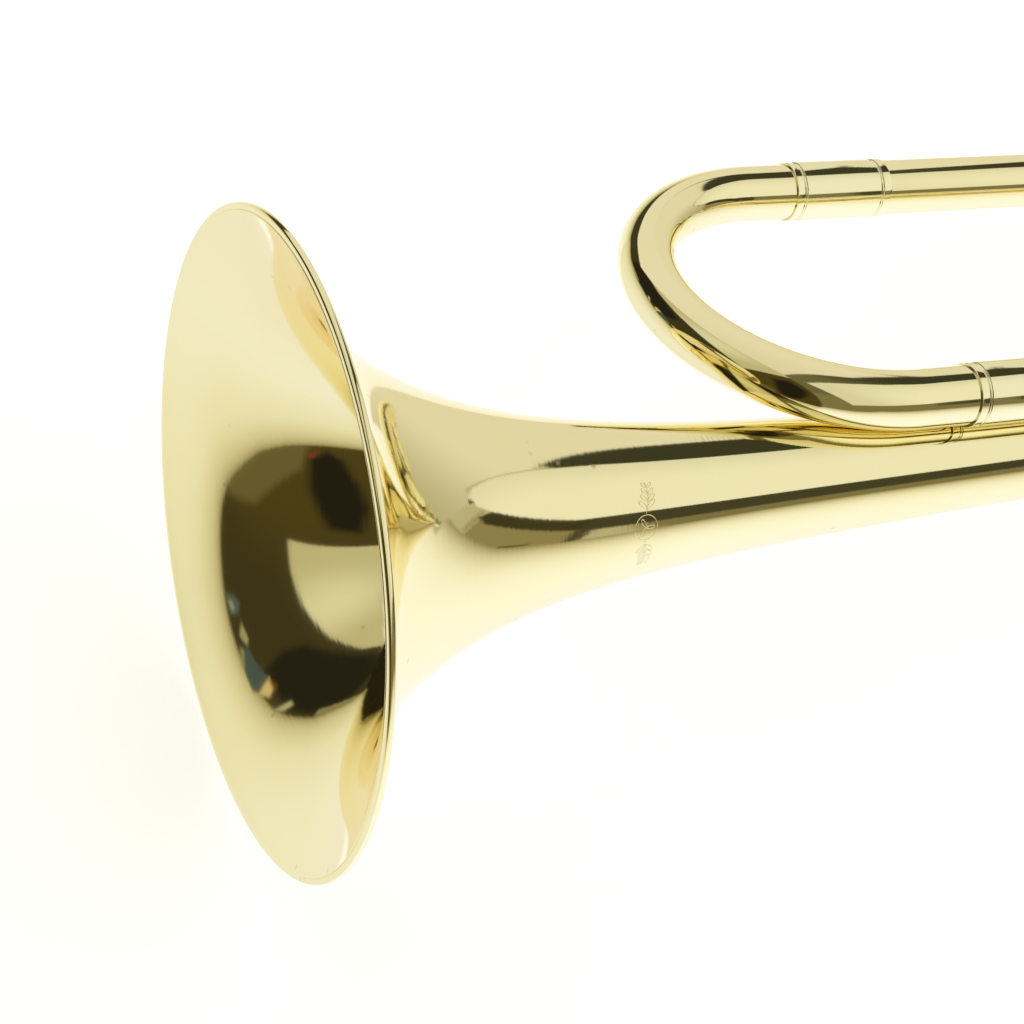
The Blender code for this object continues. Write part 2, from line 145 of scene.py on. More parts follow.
def rounded(profile, radius=0.15, n=4, closed=True):
    """Replaces the corners of a profile by short arcs. Each point is (r, h) or (r, h, own radius)."""
    pts = [(p[0], p[1], p[2] if len(p) > 2 else radius) for p in profile]
    out = []
    m = len(pts)
    for i, (r, h, rad) in enumerate(pts):
        if rad <= 0.0 or (not closed and i in (0, m - 1)) or r == 0.0:
            out.append((r, h))
            continue
        a, b = pts[i - 1], pts[(i + 1) % m]
        da = np.array([a[0] - r, a[1] - h])
        db = np.array([b[0] - r, b[1] - h])
        la, lb = np.linalg.norm(da), np.linalg.norm(db)
        if la < 1e-9 or lb < 1e-9:
            out.append((r, h))
            continue
        t = min(rad, 0.45 * la, 0.45 * lb)
        p0 = np.array([r, h]) + da / la * t
        p2 = np.array([r, h]) + db / lb * t
        p1 = np.array([r, h])
        for k in range(n + 1):
            u = k / n
            q = (1 - u) ** 2 * p0 + 2 * u * (1 - u) * p1 + u ** 2 * p2
            out.append((max(float(q[0]), 0.0), float(q[1])))
    return out


def lathe_data(profile, seg, closed=True, radial=None):
    """Vertices and faces of a turned shape; profile outer side first from the top down."""
    ang = np.arange(seg) * TAU / seg
    verts, rows = [], []
    for i, (r, h) in enumerate(profile):
        if r <= 1e-6:
            rows.append([len(verts)])
            verts.append((0.0, 0.0, h))
        else:
            base = len(verts)
            for a in ang:
                rr = r if radial is None else radial(r, h, a)
                verts.append((rr * math.cos(a), rr * math.sin(a), h))
            rows.append(list(range(base, base + seg)))
    faces = []
    n = len(rows)
    for i in range(n if closed else n - 1):
        a, b = rows[i], rows[(i + 1) % n]
        if len(a) == 1 and len(b) == 1:
            continue
        for k in range(seg):
            k2 = (k + 1) % seg
            if len(a) == 1:
                faces.append((a[0], b[k], b[k2]))
            elif len(b) == 1:
                faces.append((a[k], b[0], a[k2]))
            else:
                faces.append((a[k], b[k], b[k2], a[k2]))
    return verts, faces


def turned(name, profile, origin, axis, mat, body, replaces, seg=96, closed=True, radial=None,
           sharp=40.0):
    v, f = lathe_data(profile, seg, closed, radial)
    return new_piece(name, v, f, frame_matrix(origin, axis), mat, body, replaces, sharp)


def sweep_data(points, radii, seg, wall):
    """Bent tube with an outer and an inner skin, closed at both ends."""
    p = np.array([list(q) for q in points], dtype=float)
    n = len(p)
    t = np.gradient(p, axis=0)
    t /= np.linalg.norm(t, axis=1)[:, None]
    ref = np.array([0.0, 0.0, 1.0])
    u = ref - t[0] * (ref @ t[0])
    u /= np.linalg.norm(u)
    us = [u]
    for i in range(1, n):
        u = us[-1] - t[i] * (us[-1] @ t[i])
        us.append(u / np.linalg.norm(u))
    us = np.array(us)
    ws = np.cross(t, us)
    ang = np.arange(seg) * TAU / seg
    c, s = np.cos(ang), np.sin(ang)
    run = np.concatenate([[0.0], np.cumsum(np.linalg.norm(np.diff(p, axis=0), axis=1))])
    verts, turn = [], []
    for skin in (0.0, wall):
        for i in range(n):
            r = radii[i] - skin
            verts.append(p[i] + r * (us[i] * c[:, None] + ws[i] * s[:, None]))
            turn.append(np.stack([r * c, r * s, np.full(seg, run[i])], 1))
    verts, turn = np.vstack(verts), np.vstack(turn)
    faces = []

    def idx(layer, i, k):
        return (layer * n + i) * seg + k % seg
    for i in range(n - 1):
        for k in range(seg):
            faces.append((idx(0, i, k), idx(0, i, k + 1), idx(0, i + 1, k + 1), idx(0, i + 1, k)))
            faces.append((idx(1, i, k), idx(1, i + 1, k), idx(1, i + 1, k + 1), idx(1, i, k + 1)))
    for k in range(seg):
        faces.append((idx(0, 0, k), idx(1, 0, k), idx(1, 0, k + 1), idx(0, 0, k + 1)))
        faces.append((idx(0, n - 1, k), idx(0, n - 1, k + 1), idx(1, n - 1, k + 1), idx(1, n - 1, k)))
    return verts, faces, turn


def swept(name, points, radii, wall, mat, body, replaces, seg=72):
    v, f, t = sweep_data(points, radii, seg, wall)
    return new_piece(name, v, f, Matrix.Identity(4), mat, body, replaces, turn=t)


# ------------------------------------------------------------------ materials
def node(nt, kind, **vals):
    n = nt.nodes.new(kind)
    for k, v in vals.items():
        if k == "inputs":
            for key, val in v.items():
                n.inputs[key].default_value = val
        else:
            setattr(n, k, v)
    return n


def metal(name, base, deep, rough=0.07, spin=None, coat=0.25, spots=0.5, bump=0.02, edge=(0.98, 0.935, 0.80)):
    """Polished, lacquered metal: soft drifts of tone, faint polishing lines, tiny lacquer specks."""
    m = bpy.data.materials.new(name)
    m.use_nodes = True
    nt = m.node_tree
    b = nt.nodes["Principled BSDF"]
    link = nt.links.new
    tc = node(nt, "ShaderNodeAttribute", attribute_type="GEOMETRY", attribute_name="turn")
    drift = node(nt, "ShaderNodeTexNoise", inputs={"Scale": 18.0, "Detail": 3.0, "Roughness": 0.55})
    link(tc.outputs["Vector"], drift.inputs["Vector"])
    ramp = node(nt, "ShaderNodeMapRange", inputs={"From Min": 0.35, "From Max": 0.65, "To Min": 0.0, "To Max": 1.0})
    link(drift.outputs["Fac"], ramp.inputs["Value"])
    mix = node(nt, "ShaderNodeMix", data_type="RGBA")
    mix.inputs["A"].default_value = base + (1.0,)
    mix.inputs["B"].default_value = deep + (1.0,)
    link(ramp.outputs["Result"], mix.inputs["Factor"])
    # tiny specks in the lacquer
    vor = node(nt, "ShaderNodeTexVoronoi", feature="F1", inputs={"Scale": 260.0, "Randomness": 1.0})
    link(tc.outputs["Vector"], vor.inputs["Vector"])
    pick = node(nt, "ShaderNodeTexNoise", inputs={"Scale": 70.0, "Detail": 2.0})
    link(tc.outputs["Vector"], pick.inputs["Vector"])
    dot = node(nt, "ShaderNodeMapRange", inputs={"From Min": 0.10, "From Max": 0.16, "To Min": 1.0, "To Max": 0.0})
    link(vor.outputs["Distance"], dot.inputs["Value"])
    gate = node(nt, "ShaderNodeMapRange", inputs={"From Min": 0.60, "From Max": 0.66, "To Min": 0.0, "To Max": spots})
    link(pick.outputs["Fac"], gate.inputs["Value"])
    speck = node(nt, "ShaderNodeMath", operation="MULTIPLY")
    link(dot.outputs["Result"], speck.inputs[0])
    link(gate.outputs["Result"], speck.inputs[1])
    mix2 = node(nt, "ShaderNodeMix", data_type="RGBA")
    mix2.inputs["B"].default_value = (deep[0] * 0.55, deep[1] * 0.48, deep[2] * 0.40, 1.0)
    link(mix.outputs["Result"], mix2.inputs["A"])
    link(speck.outputs["Value"], mix2.inputs["Factor"])
    link(mix2.outputs["Result"], b.inputs["Base Color"])
    b.inputs["Metallic"].default_value = 1.0
    b.inputs["Specular Tint"].default_value = edge + (1.0,)
    # roughness: haze drifts a little, specks are dull
    haze = node(nt, "ShaderNodeMapRange", inputs={"From Min": 0.3, "From Max": 0.7, "To Min": rough * 0.7, "To Max": rough * 1.35})
    link(drift.outputs["Fac"], haze.inputs["Value"])
    add = node(nt, "ShaderNodeMath", operation="MULTIPLY_ADD")
    link(speck.outputs["Value"], add.inputs[0])
    add.inputs[1].default_value = 0.3
    link(haze.outputs["Result"], add.inputs[2])
    link(add.outputs["Value"], b.inputs["Roughness"])
    b.inputs["Coat Weight"].default_value = coat
    b.inputs["Coat Roughness"].default_value = 0.03
    b.inputs["Coat IOR"].default_value = 1.45
    # fine polishing lines round the axis, or along it
    if spin is not None:
        mp = node(nt, "ShaderNodeMapping")
        mp.inputs["Scale"].default_value = spin
        link(tc.outputs["Vector"], mp.inputs["Vector"])
        lines = node(nt, "ShaderNodeTexNoise", inputs={"Scale": 1.0, "Detail": 3.0, "Roughness": 0.6})
        link(mp.outputs["Vector"], lines.inputs["Vector"])
        bp = node(nt, "ShaderNodeBump", inputs={"Strength": bump, "Distance": 0.0004})
        link(lines.outputs["Fac"], bp.inputs["Height"])
        link(bp.outputs["Normal"], b.inputs["Normal"])
    return m


BASE = (0.965, 0.885, 0.560)
DEEP = (0.960, 0.865, 0.520)
PALE = (0.968, 0.900, 0.600)
mat_bell = metal("lacquered_brass_bell", BASE, DEEP, rough=0.06, spin=(4.0, 4.0, 900.0), spots=0.28)
mat_tube = metal("lacquered_brass_tube", BASE, DEEP, rough=0.055, spin=(500.0, 500.0, 8.0), spots=0.35)
mat_fit = metal("lacquered_brass_fitting", PALE, BASE, rough=0.07, spin=(6.0, 6.0, 1500.0), spots=0.3)
mat_silver = metal("silver_plate", (0.90, 0.89, 0.86), (0.86, 0.85, 0.81), rough=0.08, spin=(6.0, 6.0, 1200.0), coat=0.0, spots=0.15,
                   edge=(1.0, 1.0, 1.0))

# ------------------------------------------------------------------ bell and rolled rim
LIP_R = 59.12          # where the spun sheet meets the rolled rim


def lip_lift(r):
    """The last few millimetres of the flare open out a little more than the long curve does."""
    return 0.95 * math.exp((r - 59.0) / 5.0)


def bell_profile():
    n = 300
    out, inn = [], []
    for i in range(n + 1):
        t = i / n
        x = 0.05 + (BELL_END - 0.05) * (0.04 * t + 0.96 * t ** 3.0)
        e = 0.02
        sl = (bell_radius(x + e) - bell_radius(x - e)) / (2 * e)
        ln = math.hypot(sl, 1.0)
        r = bell_radius(x)
        ri, xi = r - BELL_WALL / ln, x + BELL_WALL * sl / ln
        if ri > LIP_R:
            continue
        out.append((r, x - lip_lift(r)))
        inn.append((ri, xi - lip_lift(ri)))
    r0, x0 = inn[0]
    edge = [(r0 + 0.10 * math.sin(a), x0 + 0.10 * (1.0 - math.cos(a))) for a in (0.5 * math.pi * k / 4 for k in range(1, 5))]
    inn = list(reversed(edge)) + inn
    inn[-1] = (out[-1][0] - BELL_WALL, BELL_END)
    out[-1] = (out[-1][0], BELL_END)
    return out, inn


b_out, b_in = bell_profile()
turned("bell_flare_and_stem", list(reversed(b_out)) + b_in, (0, 0, 0), BELL_DIR, mat_bell, "horn", ["bell"],
       seg=288, sharp=50.0)


def ring_section(major, minor, n=24, centre_h=0.0, square=1.0):
    out = []
    for a in (TAU * (0.25 - i / n) for i in range(n)):
        c, q = math.cos(a), math.sin(a)
        out.append((major + minor * math.copysign(abs(c) ** square, c),
                    centre_h + minor * math.copysign(abs(q) ** square, q)))
    return out


turned("bell_rolled_rim", ring_section(59.74, 0.79, 32, square=0.85), (-0.25, 0, 0), BELL_DIR, mat_bell, "horn",
       ["bell_rim_bead"], seg=288, sharp=None)


# a small engraved flower with a leafy sprig on each side, cut round the stem of the bell
ORN_X, ORN_TURN = 68.0, math.radians(160.0)


def engraved_data(paths, half=0.085, high=0.028, deep=0.05):
    verts, faces = [], []
    r_mid = bell_radius(ORN_X)
    for pts, closed in paths:
        q = np.array(pts, dtype=float)
        if closed:
            t = np.roll(q, -1, axis=0) - np.roll(q, 1, axis=0)
        else:
            t = np.gradient(q, axis=0)
        t /= np.maximum(np.linalg.norm(t, axis=1), 1e-9)[:, None]
        nrm = np.stack([-t[:, 1], t[:, 0]], 1)
        base, n = len(verts), len(q)
        for (u, w), (nu, nw) in zip(q, nrm):
            for side_of, lift in ((-half, 0.0), (0.0, high), (half, 0.0), (0.0, -deep)):
                x, a = ORN_X + u + nu * side_of, ORN_TURN + (w + nw * side_of) / r_mid
                r = bell_radius(x) + lift
                verts.append((x - lip_lift(r), r * math.cos(a), r * math.sin(a)))
        for i in range(n if closed else n - 1):
            j = (i + 1) % n
            for k in range(4):
                k2 = (k + 1) % 4
                faces.append((base + 4 * i + k, base + 4 * i + k2, base + 4 * j + k2, base + 4 * j + k))
        if not closed:
            faces.append((base + 3, base + 2, base + 1, base))
            faces.append(tuple(base + 4 * (n - 1) + k for k in range(4)))
    return verts, faces


def leaf(u, w, angle, length, width):
    out = []
    for i in range(20):
        t = TAU * i / 20
        a, b = 0.5 * length * (1.0 - math.cos(t)), 0.5 * width * math.sin(t) * (0.6 + 0.4 * math.sin(0.5 * t))
        out.append((u + a * math.cos(angle) - b * math.sin(angle), w + a * math.sin(angle) + b * math.cos(angle)))
    return out


orn = [([(1.9 * math.cos(3 * a) * math.cos(a), 1.9 * math.cos(3 * a) * math.sin(a)) for a in (math.pi * (i + 0.5) / 132 for i in range(132))], True),
       ([(2.45 * math.cos(TAU * i / 64), 2.45 * math.sin(TAU * i / 64)) for i in range(64)], True)]
for sgn in (-1.0, 1.0):
    orn.append(([(0.7 * math.sin(2.6 * i / 24), sgn * (2.7 + 5.8 * i / 24)) for i in range(25)], False))
    for i in range(4):
        f = (0.15 + 0.22 * i) * 2.6
        for way in (-1.0, 1.0):
            orn.append((leaf(0.7 * math.sin(f), sgn * (2.7 + 5.8 * f / 2.6), sgn * 0.5 * math.pi + way * 0.85, 2.3 - 0.3 * i, 0.8 - 0.08 * i), True))
v, f = engraved_data(orn)
new_piece("bell_engraved_flower", v, f, Matrix.Identity(4), mat_bell, "horn", None,
          sharp=None)


# ------------------------------------------------------------------ bows
def bow_path(centre, arm, back, leg0, leg1, n, m=8):
    pts = [centre - arm + leg0 * (1 - i / m) for i in range(m)]
    for i in range(n + 1):
        a = math.pi * i / n
        pts.append(centre - arm * math.cos(a) + back * math.sin(a))
    pts += [centre + arm + leg1 * (i / m) for i in range(1, m + 1)]
    return pts


f_centre = Vector((FRONT_X, 0.5 * (PIPE_Y + YARD_Y), side(FRONT_X)))
f_arm = Vector((0.0, 0.5 * (YARD_Y - PIPE_Y), 0.0))
f_leg = LEG_DIR * (FRONT_LEG - FRONT_X)
f_back = (LEG_DIR - f_arm * (LEG_DIR.dot(f_arm) / f_arm.length_squared)).normalized()
f_pts = bow_path(f_centre, f_arm, -f_back * f_arm.length, f_leg, f_leg, 96)
swept("front_bow_tube", f_pts, [TUBE_R] * len(f_pts), TUBE_WALL, mat_tube, "horn", ["front_bow"])

r_low = Vector((REAR_X, 0.0, 0.0))
r_high = yard(REAR_X)
r_centre = 0.5 * (r_low + r_high)
r_arm = 0.5 * (r_high - r_low)
r_back = Vector((1.0, 0.0, 0.0)) * r_arm.length
r_pts = bow_path(r_centre, r_arm, r_back, Vector((REAR_LEG - REAR_X, 0, 0)), LEG_DIR * (REAR_LEG - REAR_X), 96)
r_rad = [TAIL_R] * 8 + [TAIL_R + (TUBE_R - TAIL_R) * i / 96 for i in range(97)] + [TUBE_R] * 8
r_rad = [r - 0.03 for r in r_rad]       # keeps the round tube inside the space of the faceted solid
swept("rear_bow_tube", r_pts, r_rad, TUBE_WALL, mat_tube, "horn", ["rear_bow"])


# ------------------------------------------------------------------ straight tubes and ferrules
def tube_profile(length, r, wall):
    return rounded([(r, length, 0.08), (r, 0.0, 0.08), (r - wall, 0.0, 0.05), (r - wall, length, 0.05)], n=2)


for nm, fn, x0, x1, cad in (("second_yard_tube", yard, FRONT_LEG + JOINT_GAP, REAR_LEG - JOINT_GAP, "second_yard"),
                            ("mouthpipe_tube", pipe, FRONT_LEG + JOINT_GAP, PIPE_END, "mouthpipe")):
    turned(nm, tube_profile((fn(x1) - fn(x0)).length, TUBE_R, TUBE_WALL), fn(x0), LEG_DIR, mat_tube, "horn",
           [cad], seg=96)


def ferrule_profile(r_out, r_in, length, g0=2.1, g1=2.4):
    """Sleeve with rounded lips and one turned ring near each end."""
    c = r_out
    pts = [(c - 0.02, length, 0.22), (c, length - 0.25, 0.05)]
    for g in (length - g1, g0):
        pts += [(c, g + 0.42, 0.05), (c - 0.16, g + 0.30, 0.05), (c + 0.0, g + 0.12, 0.06), (c + 0.0, g - 0.12, 0.06),
                (c - 0.16, g - 0.30, 0.05), (c, g - 0.42, 0.05)]
    pts += [(c, 0.25, 0.05), (c - 0.02, 0.0, 0.22), (r_in, 0.0, 0.04), (r_in, length, 0.04)]
    return rounded(pts, n=4)


fer = ferrule_profile(FERRULE_R, TUBE_R + 0.02, FERRULE_L)
turned("front_yard_ferrule", fer, yard(FERRULE_X0), LEG_DIR, mat_fit, "horn", ["ferrule_front_yard"], seg=128)
turned("front_pipe_ferrule", fer, pipe(FERRULE_X0), LEG_DIR, mat_fit, "horn", ["ferrule_front_pipe"], seg=128)
turned("rear_yard_ferrule", fer, yard(REAR_FERRULE_X0), LEG_DIR, mat_fit, "horn", ["ferrule_rear_yard"], seg=128)
grow = TAIL_R - TUBE_R + 0.12
turned("rear_bell_ferrule", ferrule_profile(FERRULE_R + grow, TAIL_R + 0.12, FERRULE_L), (REAR_FERRULE_X0, 0, 0),
       BELL_DIR, mat_fit, "horn", ["ferrule_rear_bell"], seg=128)

# ------------------------------------------------------------------ tuning shank end
sl = PIPE_END - SLEEVE_X0
turned("mouthpipe_end_sleeve",
       rounded([(6.6, sl, 0.3), (6.9, sl - 0.3, 0.2), (6.9, sl - 1.7, 0.2), (6.7, sl - 2.0, 0.15), (6.7, 1.2, 0.3),
                (6.55, 0.0, 0.2), (TUBE_R + 0.02, 0.0, 0.05), (TUBE_R + 0.02, sl, 0.05)]),
       pipe(SLEEVE_X0), LEG_DIR, mat_fit, "horn", ["mouthpipe_sleeve"], seg=96)
shank_len = SHANK_X1 - SHANK_X0
turned("tuning_shank_tube",
       rounded([(SHANK_R, shank_len, 0.12), (SHANK_R, 0.0, 0.12), (SHANK_R - 0.45, 0.0, 0.1),
                (SHANK_R - 0.45, shank_len, 0.1)]),
       pipe(SHANK_X0), LEG_DIR, mat_silver, "tuning_shank", ["tuning_shank"], seg=96)
rl = RECEIVER_X1 - RECEIVER_X0
turned("mouthpiece_receiver",
       rounded([(7.0, rl, 0.5), (7.5, rl - 0.6, 0.5), (7.5, rl - 2.6, 0.5), (7.0, rl - 3.2, 0.3), (6.75, rl - 4.0, 1.0),
                (6.5, rl - 14.0, 4.0), (6.35, 3.2, 0.3), (6.75, 2.6, 0.3), (6.75, 0.6, 0.3), (6.45, 0.0, 0.2),
                (SHANK_R + 0.02, 0.0, 0.05), (SHANK_R + 0.02, SHANK_X1 - RECEIVER_X0 + 0.1, 0.05), (4.95, SHANK_X1 - RECEIVER_X0 + 0.2, 0.05),
                (5.3, rl, 0.15)], n=5),
       pipe(RECEIVER_X0), LEG_DIR, mat_silver, "tuning_shank", ["receiver"], seg=128)

mp0 = RECEIVER_X1 - 21.5
ml = MOUTHPIECE_END - mp0
RIM_R = 13.6
mp_outer = [(11.9, ml, 0.9), (13.1, ml - 0.25, 1.0), (RIM_R, ml - 1.4, 0.8), (RIM_R, ml - 2.8, 0.8), (13.0, ml - 3.9, 0.8),
            (12.0, ml - 4.9, 0.5), (11.7, ml - 7.5, 2.0), (11.2, ml - 11.5, 2.0), (10.2, ml - 16.0, 2.5),
            (8.4, ml - 20.5, 2.5), (6.3, ml - 24.0, 2.0), (5.1, ml - 26.5, 1.2), (5.0, ml - 28.0, 0.3),
            (5.6, ml - 29.0, 0.6), (5.0, ml - 30.2, 0.3), (4.75, ml - 34.0, 2.0), (5.1, 22.3, 2.0), (4.62, 0.0, 0.15)]
mp_inner = [(3.9, 0.0, 0.1), (2.9, 22.0, 2.0), (2.1, ml - 27.0, 2.0), (2.1, ml - 23.0, 1.5), (3.4, ml - 19.0, 2.0),
            (5.4, ml - 14.0, 2.5), (7.1, ml - 8.0, 2.5), (8.1, ml - 3.2, 1.5), (8.5, ml - 1.0, 0.8), (9.4, ml - 0.15, 0.8)]
turned("mouthpiece_body", rounded(mp_outer + mp_inner, n=8), pipe(mp0), LEG_DIR, mat_silver, "mouthpiece",
       ["mouthpiece"], seg=160)

# ------------------------------------------------------------------ clamp collar and its thumb screw
EAR_OUT, EAR_HALF, SLIT = 15.2, 3.6, 0.5
COLLAR_R, COLLAR_BORE, COLLAR_L = 8.6, 6.95, 7.0
SCREW_OFF = 11.6


def arc(radius, a0, a1, n):
    return [(radius * math.cos(a0 + (a1 - a0) * i / n), radius * math.sin(a0 + (a1 - a0) * i / n))
            for i in range(n + 1)]


def plate_data(outline, thick, bevel=0.35, steps=3):
    """Flat plate with rounded edges from one closed outline, as a stack of shrunken loops."""
    p = np.array(outline, dtype=float)
    area = 0.5 * np.sum(p[:, 0] * np.roll(p[:, 1], -1) - np.roll(p[:, 0], -1) * p[:, 1])
    if area < 0:
        p = p[::-1]
    e0 = p - np.roll(p, 1, axis=0)
    e1 = np.roll(p, -1, axis=0) - p
    n0 = np.stack([e0[:, 1], -e0[:, 0]], 1)
    n0 /= np.maximum(np.linalg.norm(n0, axis=1), 1e-9)[:, None]
    n1 = np.stack([e1[:, 1], -e1[:, 0]], 1)
    n1 /= np.maximum(np.linalg.norm(n1, axis=1), 1e-9)[:, None]
    nn = n0 + n1
    nn /= np.maximum(np.linalg.norm(nn, axis=1), 1e-9)[:, None]
    scale = 1.0 / np.maximum((nn * n0).sum(1), 0.5)
    loops = []
    h = 0.5 * thick
    for i in range(steps + 1):
        a = 0.5 * math.pi * i / steps
        loops.append((bevel * (1 - math.sin(a)), -h + bevel * (1 - math.cos(a))))
    loops += [(ins, -z) for ins, z in reversed(loops)]
    verts = []
    for ins, z in loops:
        q = p - nn * (scale * ins)[:, None]
        verts += [(x, y, z) for x, y in q]
    n = len(p)
    faces = [tuple(reversed(range(n))), tuple(range((len(loops) - 1) * n, len(loops) * n))]
    for j in range(len(loops) - 1):
        for k in range(n):
            k2 = (k + 1) % n
            faces.append((j * n + k, j * n + k2, (j + 1) * n + k2, (j + 1) * n + k))
    return verts, faces


g_in = math.asin(SLIT / COLLAR_BORE)
g_out = math.asin(EAR_HALF / COLLAR_R)
outline = arc(COLLAR_R, g_out, TAU - g_out, 96)
outline += arc(1.2, -0.5 * math.pi, 0.0, 6)[:0]
outline += [(EAR_OUT - 1.2 + 1.2 * math.sin(t), -EAR_HALF + 1.2 - 1.2 * math.cos(t))
            for t in (0.5 * math.pi * i / 6 for i in range(7))]
outline += [(EAR_OUT, -SLIT)]
outline += list(reversed(arc(COLLAR_BORE, g_in, TAU - g_in, 90)))
outline += [(EAR_OUT, SLIT)]
outline += [(EAR_OUT - 1.2 + 1.2 * math.cos(t), EAR_HALF - 1.2 + 1.2 * math.sin(t))
            for t in (0.5 * math.pi * i / 6 for i in range(7))]
v, f = plate_data(outline, COLLAR_L, bevel=0.3)
new_piece("clamp_collar_ring", v, f, frame_matrix(pipe(CLAMP_X), LEG_DIR, (0, -1, 0)), mat_fit, "horn",
          ["clamp_collar"], sharp=35.0)

ear_dir = Vector((0.0, -1.0, 0.0))
ear_dir = (ear_dir - LEG_DIR * ear_dir.dot(LEG_DIR)).normalized()
screw_dir = LEG_DIR.cross(ear_dir).normalized()
screw_up = screw_dir if screw_dir.z > 0.0 else -screw_dir
screw_mid = pipe(CLAMP_X) + ear_dir * SCREW_OFF
hd = EAR_HALF + 0.3


def knurl(r, h, a):
    if r > 3.9 and hd + 3.0 < h < hd + 6.8:
        return r - 0.22 * (0.5 + 0.5 * math.cos(30 * a)) ** 0.6
    return r


turned("clamp_thumb_screw",
       rounded([(0.0, hd + 7.2), (3.6, hd + 7.2, 0.5), (4.4, hd + 6.7, 0.3), (4.4, hd + 3.1, 0.3), (3.7, hd + 2.6, 0.3),
                (2.3, hd + 2.2, 0.4), (2.3, hd + 0.4, 0.2), (2.9, hd, 0.1), (1.45, hd, 0.1), (1.45, -EAR_HALF - 1.2, 0.1),
                (1.1, -EAR_HALF - 1.7, 0.2), (0.0, -EAR_HALF - 1.7)], n=4),
       screw_mid, screw_up, mat_fit, "clamp_screw", ["clamp_screw"], seg=180, closed=False,
       radial=knurl, sharp=45.0)


# ------------------------------------------------------------------ braces, saddles
def oval(a, b, n, point=0.72):
    return [(a * math.cos(t), b * math.copysign(abs(math.sin(t)) ** (1.0 / point), math.sin(t)))
            for t in (TAU * i / n for i in range(n))]


def saddle_data(a, b, r_tube, thick, n=72, rings=10, edge=0.25):
    """Oval plate wrapped on a tube: x along the tube, rounded edge, z outwards from the tube's axis."""
    verts, faces = [], []

    def wrap(x, y, z):
        ang = y / (r_tube + 0.5 * thick)
        rr = r_tube + z
        return (x, rr * math.sin(ang), rr * math.cos(ang))
    layers = []
    for k in range(rings):
        layers.append((1.0 - (1.0 - k / rings) ** 1.0, thick, 0.0, k / rings))
    prof = [(k / rings, thick) for k in range(rings)]
    prof += [(1.0 - edge / b * (1 - math.sin(t)), thick - edge * (1 - math.cos(t)))
             for t in (0.5 * math.pi * i / 4 for i in range(5))]
    prof += [(1.0, 0.0)]
    prof += [(k / rings, 0.0) for k in range(rings - 1, -1, -1)]
    o = oval(a, b, n)
    rows = []
    for s, z in prof:
        if s <= 1e-9:
            rows.append([len(verts)])
            verts.append(wrap(0.0, 0.0, z))
        else:
            base = len(verts)
            verts += [wrap(x * s, y * s, z) for x, y in o]
            rows.append(list(range(base, base + n)))
    for i in range(len(rows) - 1):
        p, q = rows[i], rows[i + 1]
        for k in range(n):
            k2 = (k + 1) % n
            if len(p) == 1:
                faces.append((p[0], q[k], q[k2]))
            elif len(q) == 1:
                faces.append((p[k], q[0], p[k2]))
            else:
                faces.append((p[k], q[k], q[k2], p[k2]))
    return verts, faces


def saddle_matrix(centre, tube_dir, out_dir):
    x = Vector(tube_dir).normalized()
    z = (Vector(out_dir) - x * Vector(out_dir).dot(x)).normalized()
    y = z.cross(x)
    m = Matrix((x, y, z)).transposed().to_4x4()
    m.translation = Vector(centre) * MM
    return m


for tag, bx in zip(("front", "rear"), BRACE_X):
    low = Vector((bx, 0.0, 0.0))
    high = yard(bx)
    d = high - low
    gap = d.length
    d.normalize()
    rb = bell_radius(bx)
    v, f = saddle_data(8.5, 4.0, rb + 0.05, 0.9)
    new_piece("brace_%s_foot_on_bell" % tag, v, f, saddle_matrix(low, BELL_DIR, d), mat_fit, "horn",
              ["brace_%s_bell_flange" % tag])
    v, f = saddle_data(8.0, 3.4, TUBE_R + 0.05, 0.9)
    new_piece("brace_%s_foot_on_yard" % tag, v, f, saddle_matrix(high, LEG_DIR, -d), mat_fit, "horn",
              ["brace_%s_yard_flange" % tag])
    h0, h1 = rb + 0.85, gap - TUBE_R - 0.85
    mid = 0.5 * (h0 + h1)
    turned("brace_%s_rod" % tag,
           rounded([(0.0, h1), (3.0, h1, 0.05), (3.0, h1 - 1.0, 0.4), (1.9, h1 - 2.0, 0.8), (1.55, h1 - 4.4, 1.5), (1.55, mid + 4.0, 0.8),
                    (2.0, mid + 2.9, 0.3), (2.0, mid + 2.2, 0.2), (2.75, mid + 1.2, 0.6), (2.95, mid, 0.6), (2.75, mid - 1.2, 0.6),
                    (2.0, mid - 2.2, 0.2), (2.0, mid - 2.9, 0.3), (1.55, mid - 4.0, 0.8),
                    (1.55, h0 + 4.4, 1.5), (1.9, h0 + 2.0, 0.8), (3.0, h0 + 1.0, 0.4), (3.0, h0, 0.05), (0.0, h0)], n=5),
           low, d, mat_fit, "horn", ["brace_%s_post" % tag], seg=64, closed=False)

for tag, sx in zip(("front", "rear"), SADDLE_X):
    out_dir = (pipe(sx) - Vector((sx, 0.0, 0.0))).normalized()
    lo = bell_radius(sx)
    hi = (pipe(sx) - Vector((sx, 0.0, 0.0))).length - TUBE_R
    v, f = plate_data([(x, y) for x, y in oval(6.5, 2.6, 72, 0.8)], hi - lo + 0.35, bevel=0.25)
    new_piece("mouthpipe_saddle_%s_plate" % tag, v, f,
              saddle_matrix(Vector((sx, 0.0, 0.0)) + out_dir * (0.5 * (lo + hi)), BELL_DIR, out_dir), mat_fit, "horn",
              ["mouthpipe_saddle_%s" % tag], sharp=35.0)

